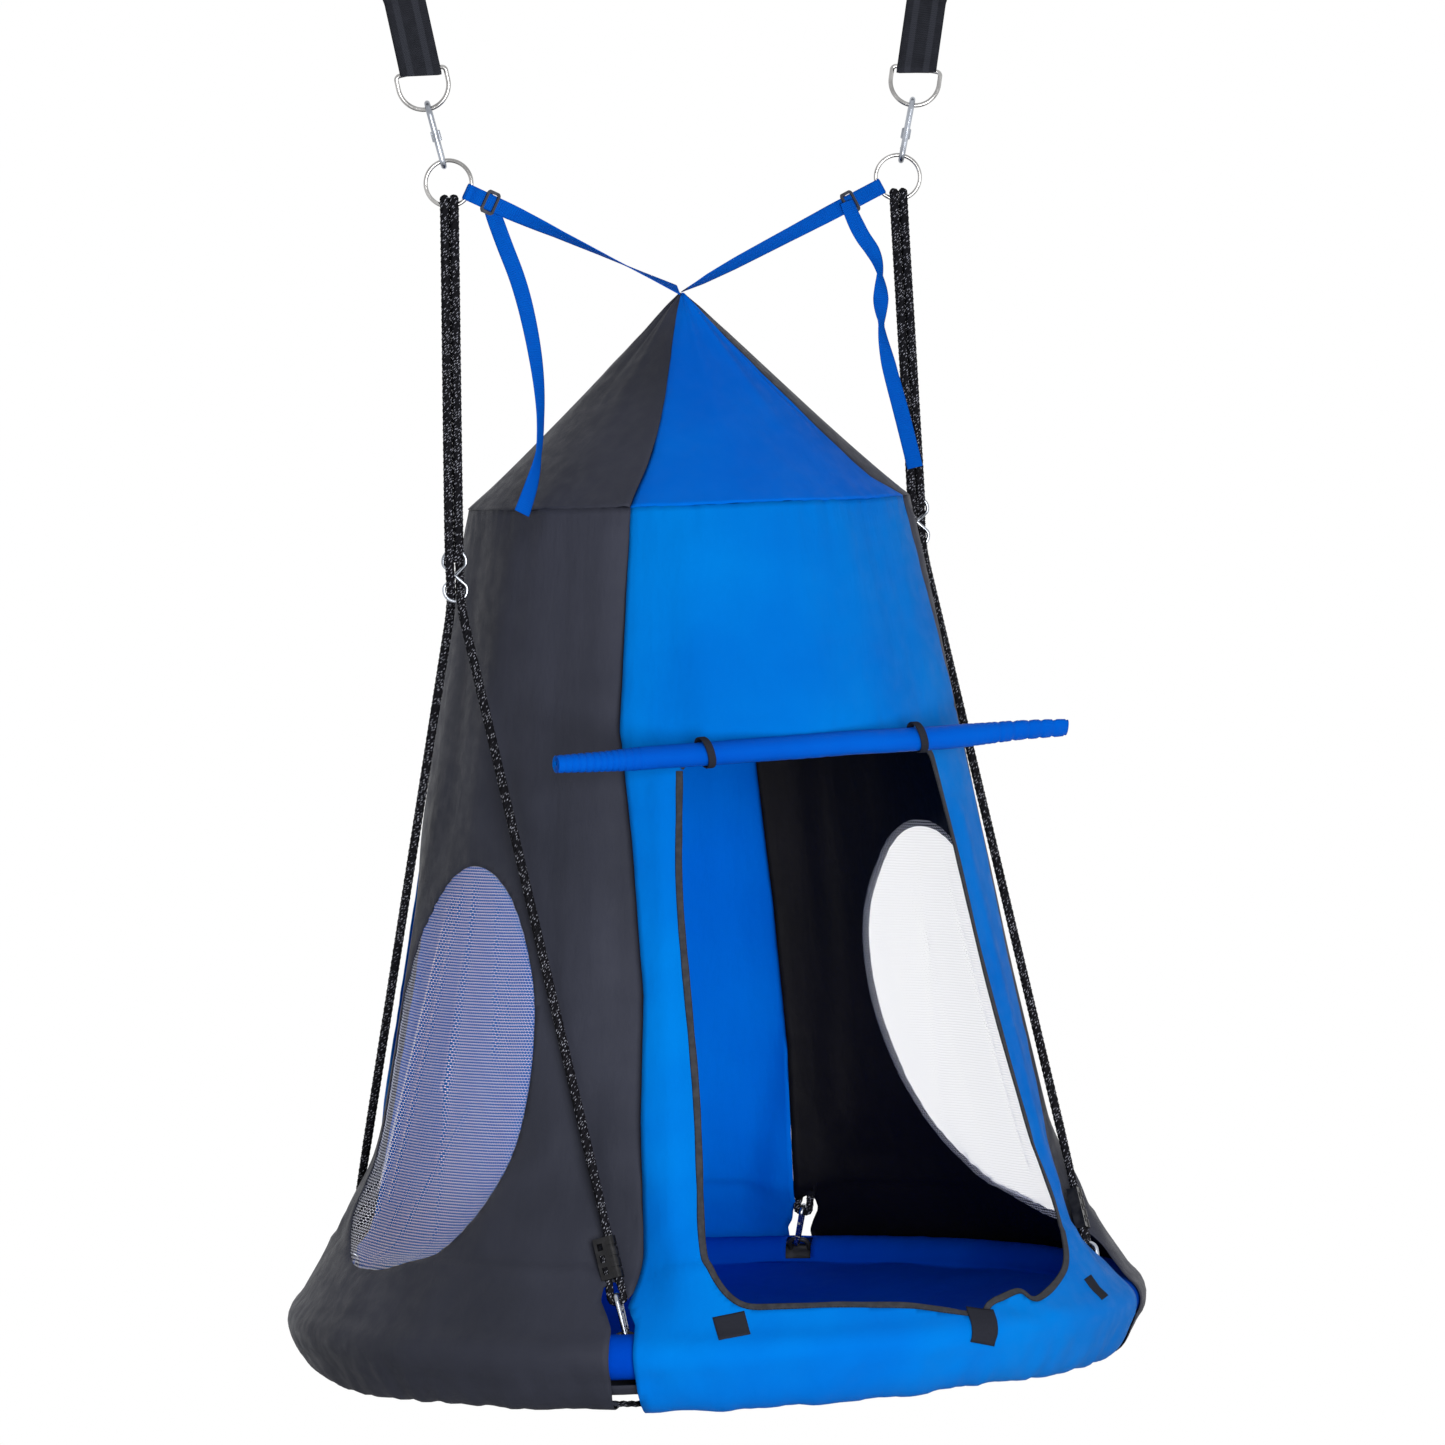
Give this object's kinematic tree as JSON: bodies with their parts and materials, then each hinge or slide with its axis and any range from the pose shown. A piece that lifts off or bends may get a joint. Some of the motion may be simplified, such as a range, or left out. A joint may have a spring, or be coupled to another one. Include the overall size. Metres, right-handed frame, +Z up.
{
  "type": "saucer nest swing with play tent",
  "caption": "Round padded nest swing in blue fabric with a blue and grey play tent, hung on two ropes, rings, snap hooks and webbing straps.",
  "frame": {"origin": "middle of the centre line of the beam that the two webbing straps loop round", "axes": "+X along the beam, the tent door faces -Y, +Z up"},
  "size_m": [1.0554, 1.059, 1.854],
  "materials": {
    "black_webbing": "woven, matt",
    "nickel_steel": "bright nickel plate",
    "zinc_steel": "bright zinc plate",
    "black_rope": "braided, white flecks",
    "black_plastic": "moulded, satin",
    "painted_tube": "powder coat",
    "foam": "closed-cell foam",
    "blue_cloth": "woven polyester",
    "grey_cloth": "woven polyester",
    "net": "open mesh",
    "grey_tape": "folded binding tape",
    "blue_webbing": "flat webbing",
    "glass_fibre": "glass-fibre rod",
    "buckle_plastic": "moulded, satin"
  },
  "bodies": {
    "hangers": {"hanging_strap_left": "black_webbing", "d_ring_left": "nickel_steel", "hanging_strap_right": "black_webbing", "d_ring_right": "nickel_steel"},
    "top_gate_body_left": {"top_gate_left": "zinc_steel"},
    "screw_sleeve_body_left": {"screw_sleeve_left": "zinc_steel"},
    "buckle_body_left": {"slide_buckle_left": "buckle_plastic"},
    "top_gate_body_right": {"top_gate_right": "zinc_steel"},
    "screw_sleeve_body_right": {"screw_sleeve_right": "zinc_steel"},
    "buckle_body_right": {"slide_buckle_right": "buckle_plastic"},
    "seat_gate_body_front_left": {"seat_gate_front_left": "zinc_steel"},
    "adjuster_body_front_left": {"rope_adjuster_front_left": "black_plastic"},
    "seat_gate_body_front_right": {"seat_gate_front_right": "zinc_steel"},
    "adjuster_body_front_right": {"rope_adjuster_front_right": "black_plastic"},
    "seat_gate_body_back_right": {"seat_gate_back_right": "zinc_steel"},
    "adjuster_body_back_right": {"rope_adjuster_back_right": "black_plastic"},
    "seat_gate_body_back_left": {"seat_gate_back_left": "zinc_steel"},
    "adjuster_body_back_left": {"rope_adjuster_back_left": "black_plastic"},
    "swing": {"top_hook_left": "zinc_steel", "rope_ring_left": "nickel_steel", "figure_eight_link_left": "zinc_steel", "suspension_rope_left": "black_rope", "top_hook_right": "zinc_steel", "rope_ring_right": "nickel_steel", "figure_eight_link_right": "zinc_steel", "suspension_rope_right": "black_rope", "seat_hook_front_left": "zinc_steel", "seat_hook_front_right": "zinc_steel", "seat_hook_back_right": "zinc_steel", "seat_hook_back_left": "zinc_steel", "gate_pins": "zinc_steel", "ring_tube_front_left": "painted_tube", "ring_tube_front_right": "painted_tube", "ring_tube_back_right": "painted_tube", "ring_tube_back_left": "painted_tube", "ring_couplers": "painted_tube", "foam_sleeves": "foam", "seat_cover": "blue_cloth", "seat_underside": "grey_cloth", "hem_drawcord": "black_rope", "wall_front": "blue_cloth", "wall_back": "blue_cloth", "wall_left": "grey_cloth", "wall_right": "grey_cloth", "roof_blue": "blue_cloth", "roof_grey": "grey_cloth", "eave_hoop": "glass_fibre", "window_net_left": "net", "window_net_right": "net", "door_binding": "grey_tape", "door_roll": "blue_cloth", "roll_ties": "grey_tape", "closure_patches": "grey_tape", "tip_strap_left": "blue_webbing", "strap_tail_left": "blue_webbing", "tip_strap_right": "blue_webbing", "strap_tail_right": "blue_webbing"}
  },
  "joints": [
    {"name": "swing_pivot", "type": "hinge", "parent": "hangers", "child": "swing", "pos_m": [0, 0, -0.272], "axis": [1, 0, 0], "range_deg": [-40, 40]},
    {"name": "top_gate_left", "type": "hinge", "parent": "swing", "child": "top_gate_body_left", "pos_m": [-0.32778, 0.00902, -0.32269], "axis": [0.827, -0.5167, 0.2216], "range_deg": [0, 18], "stiffness_Nm_per_rad": 0.2, "springref_deg": -14.32},
    {"name": "screw_sleeve_left", "type": "slide", "parent": "top_gate_body_left", "child": "screw_sleeve_body_left", "axis": [-0.2206, 0.0643, 0.9732], "range_m": [0, 0.009]},
    {"name": "top_gate_right", "type": "hinge", "parent": "swing", "child": "top_gate_body_right", "pos_m": [0.3383, 0.00902, -0.32551], "axis": [0.827, -0.5167, -0.2216], "range_deg": [0, 18], "stiffness_Nm_per_rad": 0.2, "springref_deg": -14.32},
    {"name": "screw_sleeve_right", "type": "slide", "parent": "top_gate_body_right", "child": "screw_sleeve_body_right", "axis": [0.2956, 0.0643, 0.9531], "range_m": [0, 0.009]},
    {"name": "seat_gate_front_left", "type": "hinge", "parent": "swing", "child": "seat_gate_body_front_left", "pos_m": [-0.32942, -0.32703, -1.71173], "axis": [0.7302, -0.6364, 0.2484], "range_deg": [0, 14], "stiffness_Nm_per_rad": 0.1, "springref_deg": -14.32},
    {"name": "rope_adjuster_front_left", "type": "slide", "parent": "swing", "child": "adjuster_body_front_left", "axis": [-0.0055, 0.3581, 0.9337], "range_m": [0, 0.03]},
    {"name": "seat_gate_front_right", "type": "hinge", "parent": "swing", "child": "seat_gate_body_front_right", "pos_m": [0.32933, -0.32716, -1.71161], "axis": [0.7286, 0.6466, -0.2258], "range_deg": [0, 14], "stiffness_Nm_per_rad": 0.1, "springref_deg": -14.32},
    {"name": "rope_adjuster_front_right", "type": "slide", "parent": "swing", "child": "adjuster_body_front_right", "axis": [-0.0062, 0.336, 0.9418], "range_m": [0, 0.03]},
    {"name": "seat_gate_back_right", "type": "hinge", "parent": "swing", "child": "seat_gate_body_back_right", "pos_m": [0.32941, 0.32711, -1.71161], "axis": [-0.7284, 0.6421, 0.2393], "range_deg": [0, 14], "stiffness_Nm_per_rad": 0.1, "springref_deg": -14.32},
    {"name": "rope_adjuster_back_right", "type": "slide", "parent": "swing", "child": "adjuster_body_back_right", "axis": [0.0053, -0.3439, 0.939], "range_m": [0, 0.03]},
    {"name": "seat_gate_back_left", "type": "hinge", "parent": "swing", "child": "seat_gate_body_back_left", "pos_m": [-0.32934, 0.32709, -1.71172], "axis": [-0.7305, -0.6413, -0.2345], "range_deg": [0, 14], "stiffness_Nm_per_rad": 0.1, "springref_deg": -14.32},
    {"name": "rope_adjuster_back_left", "type": "slide", "parent": "swing", "child": "adjuster_body_back_left", "axis": [0.0065, -0.3499, 0.9368], "range_m": [0, 0.03]},
    {"name": "slide_buckle_left", "type": "slide", "parent": "swing", "child": "buckle_body_left", "axis": [-0.9254, -0.0503, 0.3757], "range_m": [0, 0.012]},
    {"name": "slide_buckle_right", "type": "slide", "parent": "swing", "child": "buckle_body_right", "axis": [0.9254, 0.0503, 0.3757], "range_m": [0, 0.025]}
  ]
}
